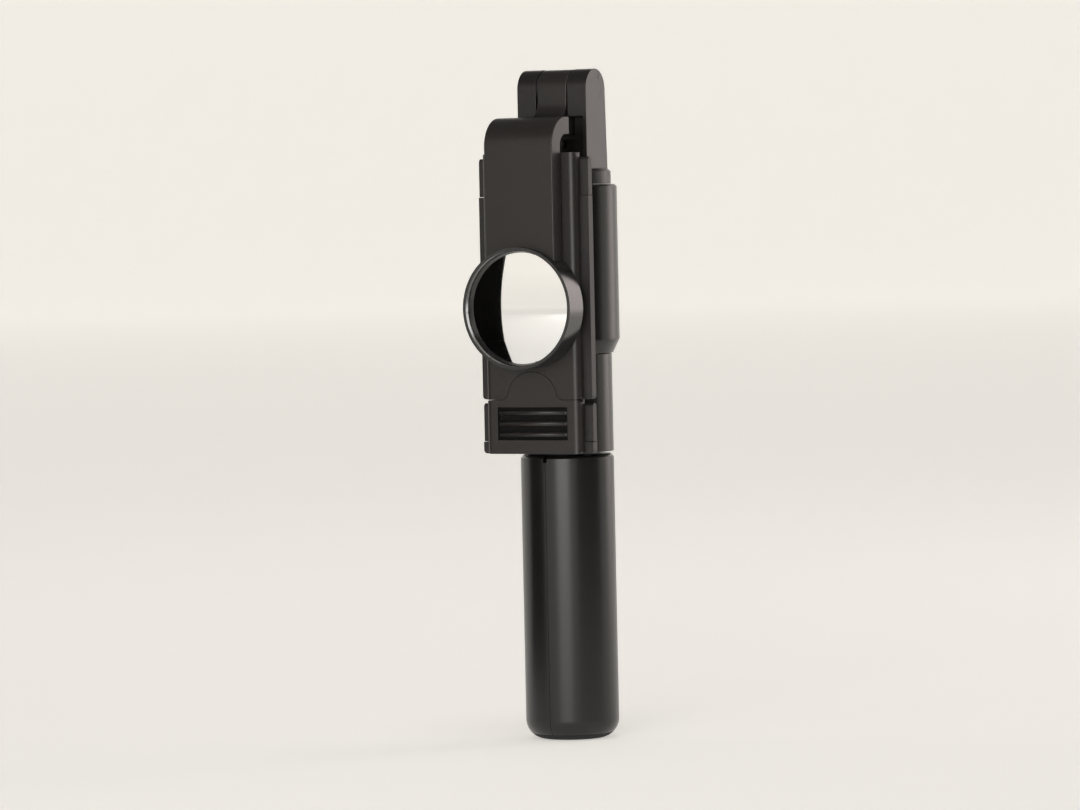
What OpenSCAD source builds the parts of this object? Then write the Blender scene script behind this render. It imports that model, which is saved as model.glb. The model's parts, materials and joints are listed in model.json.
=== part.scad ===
// Folding selfie stick with a tripod handle, a telescopic pole, a tilting arm with a round
// mirror, a spinning phone clamp and a wireless shutter button.
// Millimetres. +Z runs up the stick, -Y is the mirror side, the origin is the centre of the base.

/* [Handle and tripod legs] */
// How far the grip stands outside the fixed tube
grip_depth = 6; // [5:0.1:8]
// Length of a leg, from the floor to its top edge
leg_len = 79.2; // [64:0.2:96]
// Rounding of the handle's lower edge
base_round = 5.5; // [3:0.5:7]
// Thickness of a leg's outer wall
leg_wall = 2.4; // [1.6:0.1:3]
// Thickness of the rubber foot under each leg
foot_t = 1.6; // [1:0.1:2.5]
// Radius of the steel pin that a leg turns on
leg_pin_r = 0.75; // [0.5:0.05:1]
// Distance of the leg pins below the legs' top edge
leg_pin_drop = 1.9; // [1.7:0.1:3]
// Thickness of the grip sleeve above the legs
sleeve_wall = 1.3; // [1:0.1:2]

/* [Collar] */
// How far the collar stands outside the grip
collar_step = 2.3; // [1.5:0.1:4]
// Height of the collar
collar_h = 46.8; // [39:0.2:57]
// Height of the taper at the collar's lower end
collar_taper_h = 4; // [2:0.5:6]
// Wall thickness of the collar
collar_wall = 1.6; // [1.2:0.1:2.4]

/* [Telescopic pole] */
// Outer radius of the fixed tube
tube_r = 7; // [6:0.1:8.5]
// Wall thickness of every tube
tube_wall = 0.5; // [0.4:0.05:0.6]
// Radial gap between one tube and the next
tube_gap = 0.3; // [0.25:0.05:0.35]
// Number of moving tubes
tube_count = 5; // [5]
// Length of the plastic guide on each moving tube's lower end
guide_len = 8; // [5:0.5:12]
// Height of the fixed tube's lower end above the floor
tube_lift = 14; // [12:0.5:20]

/* [Head and tilting arm] */
// How far the neck stands outside the grip
neck_step = 0.7; // [0:0.1:1.2]
// Height of the neck cap
neck_h = 4.2; // [3:0.1:6]
// Width of the forked head
head_w = 21.7; // [19:0.1:24]
// Depth of the head's ears, front to back
head_d = 11.05; // [10:0.05:13]
// Height of the head above the neck cap
head_h = 27.7; // [23:0.1:34]
// Width of the slot between the head's ears
slot_w = 10; // [8:0.1:12]
// Radius of the tilt bolt
tilt_bolt_r = 1.5; // [1.2:0.1:2]
// Width of the arm
arm_w = 21.4; // [18:0.1:24]
// Thickness of the arm
arm_t = 4.9; // [3.5:0.1:5.5]
// Inner radius of the bend at the arm's top
bend_r = 3.2; // [1.5:0.1:3.9]

/* [Mirror hub] */
// Radius of the mirror's bezel
bezel_r = 16.8; // [14:0.02:20.2]
// Width of the bezel's rim around the mirror
bezel_rim = 0.9; // [0.7:0.05:2.5]
// How far the bezel stands in front of the arm
bezel_proud = 2.7; // [2.2:0.1:4]
// Radius of the sphere that the mirror's face is part of
mirror_sphere_r = 80; // [70:1:200]
// Radius of the axle that the clamp spins on
axle_r = 2.5; // [2:0.1:3]

/* [Phone clamp] */
// Width of the clamp's back plate
clamp_w = 34.5; // How far the clamp's raised front stays inside each edge of its back
panel_step = 2.55; // [2:0.05:3.5]
// Distance from the hub up to the clamp's top edge
clamp_up = 42.5; // [36:0.1:52]
// Distance from the hub down to the clamp's bottom edge
clamp_down = 40.3; // [38:0.1:50]
// Height of the sliding jaw
jaw_h = 14.85; // [13:0.05:20]
// Thickness of the clamp's back plate
plate_t = 2.4; // [2.2:0.1:3]
// Thickness of the clamp's raised front
panel_t = 3.1; // [2.8:0.1:4]
// Thickness of the clamp's front and back walls
clamp_wall = 1.2; // [1:0.05:1.4]
// Radius of the round tab on top of the sliding jaw
tab_r = 7.8; // [6:0.1:9]
// How far the sliding jaw pulls out
jaw_travel = 25; // [15:1:28]
// Width of a phone finger
finger_w = 3.4; // [2.6:0.1:4]
// Length of a phone finger from its rod to its tip
finger_len = 9.5; // [7:0.1:11.4]
// Radius of the steel rod that the fingers turn on
finger_rod_r = 0.6; // [0.5:0.05:0.7]

/* [Shutter button] */
// Width of the shutter unit
shutter_w = 19; // How far the shutter unit ends below the collar's top
shutter_drop = 5.8; // [4.5:0.1:12]
// How far the shutter unit stands out of the collar
shutter_proud = 1; // [0.5:0.1:2]
// Radius of its push button
button_r = 4.4; // [3.5:0.1:5]

/* [Clearances] */
// Gap between pieces that move past each other
gap = 0.3; // [0.25:0.05:0.5]
// Radial clearance of a shaft that turns in its hole
run_fit = 0.05; // [0.02:0.01:0.1]
// Radial clearance of a shaft that is fixed in its hole
seat_fit = 0.01; // [0.005:0.005:0.02]

/* [Hidden] */

$fn = 64;
eps = 0.01;
far = 60;

// Heights, from the floor up to the clamp, the arm and the head
handle_r = tube_r + grip_depth;
collar_r = handle_r + collar_step;
neck_r = handle_r + neck_step;
panel_w = clamp_w - 2 * panel_step;
seam = 0.65;
clamp_lift = 0.8;
collar_play = 0.2;
stop_gap = 0.12;
leg_pin_z = leg_len - leg_pin_drop;
leg_skin = 0.7;
lug_r = leg_pin_r + 0.35;
leg_pin_x = handle_r - leg_skin - gap - lug_r;
sleeve_z0 = leg_len + seam;
clamp_z0 = leg_len + clamp_lift;
hub_z = clamp_z0 + clamp_down;
clamp_z1 = hub_z + clamp_up;
clamp_sweep = norm([clamp_w / 2, max(clamp_up, clamp_down)]);
hook_gap = 1.6;
hook_z0 = hub_z + clamp_sweep + hook_gap;
hook_z1 = hook_z0 + arm_t;
head_round = head_d / 2;
tilt_drop = 7.8;
tilt_z = hook_z1 + tilt_drop;
head_z1 = tilt_z + head_round;
head_z0 = head_z1 - head_h;
neck_z0 = head_z0 - neck_h;
collar_z1 = neck_z0 - stop_gap;
collar_z0 = collar_z1 - collar_h;
sleeve_z1 = collar_z0 - collar_play;

// Depths, from the handle forward to the mirror
plate_y1 = -max(neck_r, handle_r) - gap;
plate_y0 = plate_y1 - plate_t;
panel_y0 = plate_y0 - panel_t;
arm_y1 = panel_y0 - gap;
arm_y0 = arm_y1 - arm_t;
mirror_r = bezel_r - bezel_rim;
mirror_sag = mirror_sphere_r - sqrt(pow(mirror_sphere_r, 2) - pow(mirror_r, 2));
mirror_edge_t = 0.8;
bezel_y0 = arm_y0 - max(bezel_proud, mirror_sag + mirror_edge_t);
collar_flat_y = plate_y1 + gap + 0.1;
head_front = 4.85;
head_y0 = -head_front;
tilt_y = head_y0 + head_round;

// Legs
leg_top_chamfer = 0.9;
leg_tube_play = 0.6;
leg_in_r = tube_r + leg_tube_play;
leg_ear_wall = 1.3;
leg_ear_r = leg_pin_x - leg_ear_wall;
leg_open = 30;
leg_swing = leg_pin_drop * sin(leg_open);
leg_relief_h = 6.2;
leg_solid_z = tube_lift - 1;
leg_side_wall = 1.6;
leg_split = gap / 5;
leg_ear_split = leg_split + leg_swing * sin(60) / 2 + gap / 4;
lug_w = 3;
leg_pin_half = 3.2;
foot_centre_r = 2.5;
foot_stem_r = 1.2;
foot_stem_h = 3;
foot_stem_x = 6;
leg_turns = [90, -30, 210];

// Pole
guide_play = run_fit;
holder_wall = 2;
holder_r = tube_r + holder_wall;
tube_step_z = 0.8;
tube_top_z = collar_z1 - 3.8;
plug_flange_h = 0.8;
plug_h = 3;
lip_h = 1;

// Head
bar_clear = 1.3;
slot_floor_z = hook_z0 - bar_clear;
web_y = tilt_y + 2.55;
tongue_r = head_round - 0.1;
web_z = tilt_z - sqrt(pow(tongue_r + gap, 2) - pow(web_y - tilt_y, 2));
pocket_z0 = head_z0 + 1.7;
pocket_z1 = hook_z1 + 0.2;
pocket_side = 1.05;
pocket_d = 4;
head_back_slope = 0.8;
tongue_w = slot_w - 0.8;
hook_tip = 2.1;
tab_hollow_r = 4.5;
bolt_head_r = tilt_bolt_r + 1.2;
cap_r = bolt_head_r + 0.5;
cap_t = 1;
bolt_head_t = 1.8;
screw_r = 1.2;
screw_head_r = 2.2;

// Mirror hub
hub_disc_r = mirror_r + 0.1;
mirror_back_y = arm_y0 - 0.2;
friction_r = 9.6;
axle_head_r = axle_r + 2;
axle_head_t = 1.5;
bush_r = axle_r + 0.9;
nut_r = axle_r + 1.8;

// Clamp
inner_y0 = panel_y0 + clamp_wall;
inner_y1 = plate_y1 - clamp_wall;
inner_w = panel_w - 2 * clamp_wall;
inner_d = inner_y1 - inner_y0;
washer_t = 0.6;
hub_play = 0.2;
nut_t = inner_d - washer_t - 2 * hub_play - 0.5;
jaw_z1 = clamp_z0 + jaw_h;
cover_z0 = jaw_z1 + stop_gap;
corner_r = 1;
panel_round = 1.8;
tab_flare = 2.5;
flare_bite = 0.1;
flare_end = 0.6;
rail_w = 3.8;
rail_side = 1;
finger_inset = 0.05;
finger_x1 = clamp_w / 2 - finger_inset;
finger_x0 = finger_x1 - finger_w;
rail_x = min(inner_w / 2 - rail_side, finger_x0 - 2 * gap) - rail_w;
rail_hold = 12;
rail_len = jaw_travel + rail_hold;
slider_y0 = inner_y0 + 0.25;
slider_y1 = inner_y1 - 0.25;
slider_z0 = clamp_z0 + 4;
slider_z1 = cover_z0 + 2;
spring_wire_r = 0.2;
spring_play = 0.2;
spring_r = inner_d / 2 - spring_play - spring_wire_r;
spring_x = (rail_x + bush_r + 1.6) / 2 + 0.25;
spring_z0 = slider_z1 + 0.4;
spring_len = 50;
spring_z1 = spring_z0 + spring_len;
post_r = 0.7;
window_side = 3.75;
window_w = panel_w - 2 * window_side;
window_low = 3.8;
window_top = 1.95;
window_h = jaw_h - window_low - window_top;
window_z0 = clamp_z0 + window_low;
window_d = 0.9;
rib_count = 3;
rib_h = 1.1;
rib_sink = 0.35;
rib_inset = 0.8;
pad_w = 24;
pad_t = 0.6;
pad_z0 = hub_z - 16;
pad_z1 = hub_z + 26;
cover_screw_r = 0.8;
cover_boss_r = 1.8;

// Phone fingers
finger_y0 = plate_y0 + gap;
finger_y1 = plate_y1;
finger_y = (finger_y0 + finger_y1) / 2;
finger_r = (finger_y1 - finger_y0) / 2;
upper_rod_z = clamp_z1 - 2.3;
lower_rod_z = jaw_z1 - 2;

// Shutter unit
shutter_low = 3;
shutter_h = collar_h - shutter_low - shutter_drop;
shutter_z0 = collar_z0 + shutter_low;
shutter_z1 = shutter_z0 + shutter_h;
shutter_floor = 1.1;
shutter_y0 = holder_r + shutter_floor;
shutter_wall = 1.2;
shutter_back_t = 1.2;
shutter_gap = 0.2;
board_lift = 3.05;
board_y0 = shutter_y0 + board_lift;
board_t = 0.6;
board_half = 6;
cell_r = 6.25;
cell_t = 1.6;
cell_z = shutter_z0 + 10;
button_z = shutter_z1 - 12;
button_proud = 0.6;
button_play = 0.3;
dome_r = 1.6;
dome_t = 0.65;
button_stroke = 0.5;
button_clear = 0.1;
dome_y1 = board_y0 + board_t + dome_t;
shutter_r = max(collar_r + shutter_proud,
    dome_y1 + button_stroke + 2 * button_clear + shutter_wall);
lamp_r = 0.8;
lamp_z = button_z + 8;

// ---------------------------------------------------------------- shared shapes

// A ring about +Z
module ring(r_out, r_in, z0, z1) {
    translate([0, 0, z0]) difference() {
        cylinder(r = r_out, h = z1 - z0);
        translate([0, 0, -eps]) cylinder(r = r_in, h = z1 - z0 + 2 * eps);
    }
}

// A rod along +X between two x values
module rod_x(r, x0, x1, y, z) {
    translate([x0, y, z]) rotate([0, 90, 0]) cylinder(r = r, h = x1 - x0);
}

// A rod along +Y between two y values
module rod_y(r, y0, y1, x, z) {
    translate([x, y0, z]) rotate([-90, 0, 0]) cylinder(r = r, h = y1 - y0);
}

// A block between two corners
module block(low, high) {
    translate(low) cube(high - low);
}

// An outline drawn in Y and Z, made solid across X
module across_x(width) {
    rotate([90, 0, 90]) translate([0, 0, -width / 2]) linear_extrude(width) children();
}

// An outline drawn in X and Z, made solid from y0 to y1
module along_y(y0, y1) {
    translate([0, y1, 0]) rotate([90, 0, 0]) linear_extrude(y1 - y0) children();
}

// A rectangle with four round corners, drawn from exact circles
module round_rect(x0, z0, x1, z1, r) {
    translate([x0 + r, z0]) square([x1 - x0 - 2 * r, z1 - z0]);
    translate([x0, z0 + r]) square([x1 - x0, z1 - z0 - 2 * r]);
    for (x = [x0 + r, x1 - r], z = [z0 + r, z1 - r])
        translate([x, z]) circle(r = r);
}

// One third of the round, as a wedge that points along +X, set back from its side planes
module third(z0, z1, set_back) {
    tip = set_back / sin(60);
    translate([0, 0, z0]) linear_extrude(z1 - z0)
        polygon([[tip, 0], [tip + far / 2, far * sin(60)], [tip + far / 2, -far * sin(60)]]);
}

// ---------------------------------------------------------------- tripod handle

// Half section of the closed handle, with its rounded foot and chamfered top edge
module handle_section() {
    translate([0, base_round]) square([handle_r, leg_len - base_round - leg_top_chamfer]);
    square([handle_r - base_round, base_round + eps]);
    translate([handle_r - base_round, base_round]) circle(r = base_round);
    translate([0, leg_len - leg_top_chamfer - eps])
        polygon([[0, 0], [handle_r, 0], [handle_r, eps],
            [handle_r - leg_top_chamfer, leg_top_chamfer + eps], [0, leg_top_chamfer + eps]]);
}

// The part of the half section between two heights, turned about the stick
module handle_slice(z0, z1) {
    rotate_extrude() intersection() {
        handle_section();
        translate([0, z0]) square([far, z1 - z0]);
    }
}

// A leg, pointing along +X before it is turned to its place
module leg(turn) {
    color([0.13, 0.12, 0.12]) rotate(turn) difference() {
        intersection() {
            handle_slice(foot_t, leg_len);
            third(0, leg_len, leg_split);
        }
        ring_bore(leg_in_r, leg_solid_z);
        ring_bore(leg_ear_r, leg_len - leg_relief_h);
        // the ears stand back from their neighbours, which swing in beside them
        difference() {
            ring_bore(far, leg_pin_z);
            third(leg_pin_z - 1, leg_len + 1, leg_ear_split);
        }
        // hollow behind the outer wall
        intersection() {
            translate([0, 0, leg_solid_z])
                cylinder(r = handle_r - leg_wall, h = leg_len - leg_relief_h - 4 - leg_solid_z);
            third(0, leg_len, leg_split + leg_side_wall);
        }
        // slot for the hub's lug, and the bore for the pin
        block([0, -lug_w / 2 - gap, leg_pin_z - lug_r - gap],
            [leg_pin_x + lug_r + gap, lug_w / 2 + gap, leg_len + eps]);
        translate([leg_pin_x, leg_pin_half + 0.1, leg_pin_z]) rotate([90, 0, 0])
            cylinder(r = leg_pin_r + run_fit, h = 2 * leg_pin_half + 0.2);
        // room for the foot's stem and for the centre of the rear foot
        translate([foot_stem_x, 0, 0])
            cylinder(r = foot_stem_r + seat_fit, h = foot_t + foot_stem_h + 0.2);
        cylinder(r = foot_centre_r + gap, h = foot_t + 1);
    }
}

// A bore about the stick from a height up past the leg's top
module ring_bore(r, z0) {
    translate([0, 0, z0]) cylinder(r = r, h = far * 2);
}

// The rubber foot under a leg. The rear one also carries the round centre of the base.
module foot(turn, has_centre) {
    color([0.07, 0.07, 0.07]) rotate(turn) {
        difference() {
            intersection() {
                handle_slice(0, foot_t);
                third(0, foot_t, leg_split);
            }
            if (!has_centre)
                translate([0, 0, -eps]) cylinder(r = foot_centre_r + gap, h = foot_t + 2 * eps);
        }
        if (has_centre)
            cylinder(r = foot_centre_r, h = foot_t);
        translate([foot_stem_x, 0, foot_t - eps]) cylinder(r = foot_stem_r, h = foot_stem_h);
    }
}

module leg_rear() { leg(leg_turns[0]); }
module leg_front_right() { leg(leg_turns[1]); }
module leg_front_left() { leg(leg_turns[2]); }
module foot_rear() { foot(leg_turns[0], true); }
module foot_front_right() { foot(leg_turns[1], false); }
module foot_front_left() { foot(leg_turns[2], false); }

module leg_pins() {
    color([0.75, 0.75, 0.77])
        for (turn = leg_turns)
            rotate(turn) translate([leg_pin_x, leg_pin_half, leg_pin_z]) rotate([90, 0, 0])
                cylinder(r = leg_pin_r, h = 2 * leg_pin_half);
}

// The ring round the fixed tube whose three lugs carry the leg pins
hub_ring_r = leg_ear_r - leg_swing - gap / 2;
hub_flange_r = handle_r - sleeve_wall - seat_fit;
hub_flange_h = 6;
module leg_hub() {
    color([0.16, 0.16, 0.17]) difference() {
        union() {
            ring(hub_ring_r, tube_r + seat_fit, leg_len - leg_relief_h + gap, sleeve_z0 + eps);
            ring(hub_flange_r, tube_r + seat_fit, sleeve_z0, sleeve_z0 + hub_flange_h);
            for (turn = leg_turns) rotate(turn) {
                block([tube_r + 1, -lug_w / 2, leg_pin_z],
                    [leg_pin_x, lug_w / 2, sleeve_z0 + eps]);
                translate([leg_pin_x, lug_w / 2, leg_pin_z]) rotate([90, 0, 0])
                    cylinder(r = lug_r, h = lug_w);
            }
        }
        for (turn = leg_turns) rotate(turn) {
            translate([leg_pin_x, lug_w, leg_pin_z]) rotate([90, 0, 0])
                cylinder(r = leg_pin_r + seat_fit, h = 2 * lug_w);
            hub_screw_hole(seat_fit);
        }
    }
}

// The three grub screws that lock the hub to the fixed tube
hub_screw_r = 1;
hub_screw_z = sleeve_z0 + hub_flange_h / 2;
module hub_screw_hole(play) {
    translate([tube_r + 0.1 - play, 0, hub_screw_z]) rotate([0, 90, 0])
        cylinder(r = hub_screw_r + play, h = hub_flange_r - tube_r - 0.3 + 2 * play);
}
module hub_screws() {
    color([0.7, 0.7, 0.72])
        for (turn = leg_turns)
            rotate(turn) hub_screw_hole(0);
}

module grip_sleeve() {
    color([0.13, 0.12, 0.12]) difference() {
        ring(handle_r, handle_r - sleeve_wall, sleeve_z0, sleeve_z1);
        // the step that the collar plugs into
        translate([0, 0, sleeve_z1 - 1]) cylinder(r = handle_r - sleeve_wall + 0.3, h = 2);
    }
}

// ---------------------------------------------------------------- collar

module collar_outline(inset) {
    low_r = handle_r + 0.4;
    difference() {
        rotate_extrude()
            polygon([[0, collar_z0 + inset], [low_r - inset, collar_z0 + inset],
                [collar_r - inset, collar_z0 + collar_taper_h + inset / 2],
                [collar_r - inset, collar_z1 - 0.6 - inset], [collar_r - 0.6 - inset, collar_z1 - inset],
                [0, collar_z1 - inset]]);
        block([-far, -far, collar_z0 - 1], [far, collar_flat_y + inset, collar_z1 + 1]);
    }
}

// The pocket that the shutter unit sits in
module shutter_pocket(grow) {
    block([-shutter_w / 2 - grow, shutter_y0 - grow, shutter_z0 - grow],
        [shutter_w / 2 + grow, far, shutter_z1 + grow]);
}

module collar_shell() {
    color([0.16, 0.15, 0.15]) difference() {
        collar_outline(0);
        difference() {
            collar_outline(collar_wall);
            shutter_pocket(shutter_gap + 0.8);
        }
        shutter_pocket(shutter_gap);
        translate([0, 0, collar_z0 - 1]) cylinder(r = holder_r + seat_fit, h = collar_h + 2);
    }
}

// The sleeve that carries the fixed tube inside the collar and the grip
module tube_holder() {
    color([0.2, 0.2, 0.21])
        ring(holder_r, tube_r + seat_fit, sleeve_z0 + hub_flange_h + 0.1, tube_top_z - 0.5);
}

// ---------------------------------------------------------------- telescopic pole

function tube_out(i) = tube_r - i * (tube_wall + tube_gap);
function tube_in(i) = tube_out(i) - tube_wall;
function tube_z0(i) = i == 0 ? tube_lift : tube_lift + plug_h + 0.5 + (i - 1) * tube_step_z;
function tube_z1(i) = i == tube_count ? neck_z0 + 3 : tube_top_z + 0.6 * i;

// A thin tube whose rolled lip guides the next tube
module tube(i) {
    color([0.78, 0.79, 0.8]) {
        ring(tube_out(i), tube_in(i), tube_z0(i), tube_z1(i));
        if (i < tube_count)
            ring(tube_in(i) + eps, tube_out(i + 1) + 0.1, tube_z1(i) - lip_h, tube_z1(i));
    }
}

module guide(i) {
    color([0.85, 0.85, 0.82])
        ring(tube_in(i - 1) - guide_play, tube_out(i) + seat_fit, tube_z0(i), tube_z0(i) + guide_len);
}

module tube_0() { tube(0); }
module tube_1() { tube(1); }
module tube_2() { tube(2); }
module tube_3() { tube(3); }
module tube_4() { tube(4); }
module tube_5() { tube(5); }
module guide_1() { guide(1); }
module guide_2() { guide(2); }
module guide_3() { guide(3); }
module guide_4() { guide(4); }
module guide_5() { guide(5); }

module tube_plug() {
    color([0.1, 0.1, 0.1]) {
        translate([0, 0, tube_z0(0) - plug_flange_h]) cylinder(r = tube_r, h = plug_flange_h);
        translate([0, 0, tube_z0(0) - eps]) cylinder(r = tube_in(0) - seat_fit, h = plug_h);
    }
}

// ---------------------------------------------------------------- head

head_y1 = head_y0 + head_d;

module neck_cap() {
    color([0.15, 0.14, 0.14]) difference() {
        rotate_extrude()
            polygon([[0, neck_z0], [neck_r, neck_z0], [neck_r, head_z0 - 0.8],
                [neck_r - 0.8, head_z0], [0, head_z0]]);
        translate([0, 0, neck_z0 - eps])
            cylinder(r = tube_out(tube_count) + seat_fit, h = tube_z1(tube_count) - neck_z0 + 0.1);
        translate([0, 0, neck_z0]) cylinder(r = screw_r + 0.1, h = neck_h + 1);
    }
}

module head_outline() {
    polygon([[head_y0, head_z0], [head_y1 + head_back_slope, head_z0], [head_y1, tilt_z],
        [head_y0, tilt_z]]);
    translate([tilt_y, tilt_z]) circle(r = head_round);
}

module head_fork() {
    half = head_w / 2;
    color([0.15, 0.14, 0.14]) difference() {
        across_x(head_w) head_outline();
        // slot for the arm's tongue, closed at the back up to the web
        block([-slot_w / 2, -far, slot_floor_z], [slot_w / 2, web_y, head_z1 + 1]);
        block([-slot_w / 2, -far, web_z], [slot_w / 2, far, head_z1 + 1]);
        // pocket under the front lands
        block([-half + pocket_side, -far, pocket_z0], [half - pocket_side, head_y0 + pocket_d, pocket_z1]);
        rod_x(tilt_bolt_r + seat_fit, -far, far, tilt_y, tilt_z);
        rod_x(bolt_head_r + 0.1, -far, -half + cap_t + bolt_head_t + 0.1, tilt_y, tilt_z);
        rod_x(bolt_head_r + 0.1, half - cap_t - bolt_head_t - 0.1, far, tilt_y, tilt_z);
        rod_x(cap_r + seat_fit, -far, -half + cap_t, tilt_y, tilt_z);
        rod_x(cap_r + seat_fit, half - cap_t, far, tilt_y, tilt_z);
        translate([0, 0, head_z0 - 1]) cylinder(r = screw_r + 0.1, h = far);
        translate([0, 0, slot_floor_z - 2.2]) cylinder(r = screw_head_r + 0.2, h = far);
    }
}

// The plug in the last tube that the head's screw pulls on
module head_plug() {
    color([0.75, 0.68, 0.4])
        ring(tube_in(tube_count) - seat_fit, screw_r + seat_fit, neck_z0 - 9, neck_z0 + 3);
}

module head_screw() {
    color([0.7, 0.7, 0.72]) {
        translate([0, 0, slot_floor_z - 2]) cylinder(r = screw_head_r, h = 1.6);
        translate([0, 0, neck_z0 - 7]) cylinder(r = screw_r, h = slot_floor_z - neck_z0 + 5 + eps);
    }
}

module tilt_bolt() {
    x0 = -head_w / 2 + cap_t + 0.05;
    color([0.7, 0.7, 0.72]) {
        rod_x(bolt_head_r, x0, x0 + bolt_head_t, tilt_y, tilt_z);
        rod_x(tilt_bolt_r, x0 + eps, head_w / 2 - cap_t - 0.1, tilt_y, tilt_z);
    }
}

module tilt_nut() {
    x1 = head_w / 2 - cap_t - 0.05;
    color([0.7, 0.7, 0.72]) difference() {
        translate([x1 - bolt_head_t, tilt_y, tilt_z]) rotate([0, 90, 0])
            cylinder(r = bolt_head_r, h = bolt_head_t, $fn = 6);
        rod_x(tilt_bolt_r + seat_fit, 0, far, tilt_y, tilt_z);
    }
}

module tilt_caps() {
    color([0.15, 0.14, 0.14])
        for (side = [-1, 1])
            rod_x(cap_r, side * (head_w / 2 - cap_t / 2) - cap_t / 2 + 0.02,
                side * (head_w / 2 - cap_t / 2) + cap_t / 2 - 0.02, tilt_y, tilt_z);
}

module tilt_washers() {
    play = (slot_w - tongue_w) / 2;
    color([0.2, 0.2, 0.2])
        for (side = [-1, 1]) difference() {
            rod_x(tongue_r - 0.4, side * (tongue_w + play) / 2 - play / 2 + run_fit,
                side * (tongue_w + play) / 2 + play / 2 - run_fit, tilt_y, tilt_z);
            rod_x(tilt_bolt_r + run_fit, -far, far, tilt_y, tilt_z);
        }
}

// ---------------------------------------------------------------- tilting arm and mirror hub

bend_y = arm_y1 + bend_r;
bend_z = hook_z0 - bend_r;
hook_y1 = bend_y + hook_tip;

// Side view of the arm: a plate, a quarter bend and a short level end
module arm_outline() {
    translate([arm_y0, hub_z]) square([arm_t, bend_z - hub_z]);
    translate([bend_y, bend_z]) intersection() {
        difference() {
            circle(r = bend_r + arm_t);
            circle(r = bend_r);
        }
        translate([-far, 0]) square([far, far]);
    }
    translate([bend_y - eps, hook_z0]) square([hook_y1 - bend_y + eps, arm_t]);
}

// Side view of the tongue: a level bar, an upright tab with a round top and a hollow between them
module tongue_outline() {
    tab_y0 = tilt_y - tongue_r;
    tab_y1 = web_y - gap;
    difference() {
        union() {
            translate([tilt_y, tilt_z]) circle(r = tongue_r);
            translate([tab_y0, hook_z0]) square([tab_y1 - tab_y0, tilt_z - hook_z0]);
            translate([bend_y, hook_z0]) square([tab_y1 - bend_y, arm_t]);
            translate([tab_y0 - tab_hollow_r, hook_z1 - eps]) difference() {
                square([tab_hollow_r + eps, tab_hollow_r + eps]);
                translate([0, tab_hollow_r + eps]) circle(r = tab_hollow_r);
            }
        }
        translate([tilt_y, tilt_z]) circle(r = tilt_bolt_r + run_fit);
    }
}

module arm() {
    color([0.24, 0.22, 0.21]) difference() {
        union() {
            across_x(arm_w) arm_outline();
            across_x(tongue_w) tongue_outline();
            rod_y(hub_disc_r, arm_y0, arm_y1, 0, hub_z);
        }
        rod_y(axle_r + seat_fit, -far, far, 0, hub_z);
        rod_y(axle_head_r + 0.1, -far, arm_y0 + axle_head_t + 0.1, 0, hub_z);
    }
}

module mirror_bezel() {
    seat_y = arm_y0 - 0.1;
    color([0.1, 0.1, 0.1]) difference() {
        rod_y(bezel_r, bezel_y0, arm_y1, 0, hub_z);
        rod_y(hub_disc_r + seat_fit, seat_y, far, 0, hub_z);
        rod_y(mirror_r + seat_fit, -far, seat_y + eps, 0, hub_z);
        // the arm leaves upward through the bezel's wall
        block([-arm_w / 2 - 0.1, seat_y, hub_z], [arm_w / 2 + 0.1, far, hub_z + bezel_r + 1]);
    }
}

module mirror() {
    color([0.9, 0.9, 0.9]) intersection() {
        rod_y(mirror_r, bezel_y0 - 1, mirror_back_y, 0, hub_z);
        translate([0, bezel_y0 + 0.1 + mirror_sphere_r, hub_z]) sphere(r = mirror_sphere_r, $fn = 360);
    }
}

module hub_axle() {
    color([0.7, 0.7, 0.72]) {
        rod_y(axle_head_r, arm_y0, arm_y0 + axle_head_t, 0, hub_z);
        rod_y(axle_r, arm_y0 + eps, inner_y1 - hub_play, 0, hub_z);
    }
}

module hub_nut() {
    color([0.7, 0.7, 0.72]) difference() {
        translate([0, inner_y1 - hub_play - nut_t, hub_z]) rotate([-90, 0, 0])
            cylinder(r = nut_r, h = nut_t, $fn = 6);
        rod_y(axle_r + seat_fit, -far, far, 0, hub_z);
    }
}

module wave_washer() {
    y0 = inner_y0 + hub_play;
    color([0.75, 0.75, 0.77]) difference() {
        rod_y(nut_r, y0, y0 + washer_t, 0, hub_z);
        rod_y(axle_r + run_fit, -far, far, 0, hub_z);
    }
}

module friction_disc() {
    color([0.3, 0.3, 0.3]) difference() {
        rod_y(friction_r, arm_y1 + 0.05, panel_y0 - 0.05, 0, hub_z);
        rod_y(axle_r + run_fit, -far, far, 0, hub_z);
    }
}

module hub_bush() {
    color([0.85, 0.85, 0.82]) difference() {
        rod_y(bush_r, panel_y0, inner_y0, 0, hub_z);
        rod_y(axle_r + run_fit, -far, far, 0, hub_z);
    }
}

// ---------------------------------------------------------------- phone clamp

// Where the back plate's screws go, in X and Z
cover_screws = [[-10.5, clamp_z1 - 8.5], [10.5, clamp_z1 - 8.5], [0, hub_z + 20]];

// The raised front between two heights, with its two long front edges rounded
module panel_form(z0, z1) {
    half = panel_w / 2;
    intersection() {
        along_y(panel_y0, plate_y0) round_rect(-half, z0, half, z1, corner_r);
        translate([0, 0, z0 - 1]) linear_extrude(z1 - z0 + 2) {
            translate([-half + panel_round, panel_y0]) square([2 * (half - panel_round), far]);
            translate([-half, panel_y0 + panel_round]) square([2 * half, far]);
            for (side = [-1, 1])
                translate([side * (half - panel_round), panel_y0 + panel_round])
                    circle(r = panel_round);
        }
    }
}

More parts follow.
